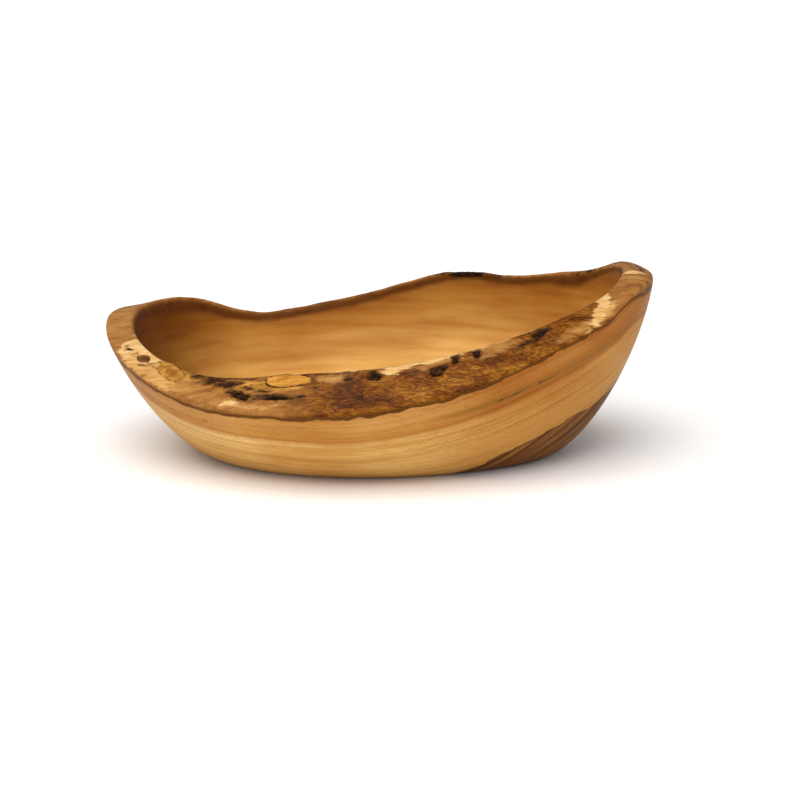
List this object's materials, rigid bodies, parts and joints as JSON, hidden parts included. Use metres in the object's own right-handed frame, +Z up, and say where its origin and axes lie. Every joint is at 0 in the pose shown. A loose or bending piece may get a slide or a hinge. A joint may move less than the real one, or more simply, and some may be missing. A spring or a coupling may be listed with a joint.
{
  "type": "natural-edge wooden yarn bowl",
  "caption": "Boat-shaped bowl for a ball of yarn, carved in one piece from a half log, with a natural live-edge rim that rises to a point at one end.",
  "frame": {"origin": "middle of the bowl's outline on the surface it stands on", "axes": "+Z up, +X along the bowl's length towards the high pointed end, +Y towards the high side of the rim"},
  "size_m": [0.2489, 0.1705, 0.0861],
  "materials": {
    "olive_wood": "olive wood sanded smooth and oiled, satin",
    "knot_wood": "dense knot wood grown into the rim, oiled, satin",
    "old_bark": "old bark left in the folds of the live edge, dry and dark"
  },
  "bodies": {
    "root": {"bowl": "olive_wood", "dark_knot": "knot_wood", "ringed_knot": "knot_wood", "golden_knot": "knot_wood", "bark_pocket_1": "old_bark", "bark_pocket_2": "old_bark", "bark_pocket_3": "old_bark", "bark_pocket_4": "old_bark", "bark_pocket_5": "old_bark", "bark_pocket_6": "old_bark", "bark_pocket_7": "old_bark", "bark_pocket_8": "old_bark"}
  },
  "joints": []
}
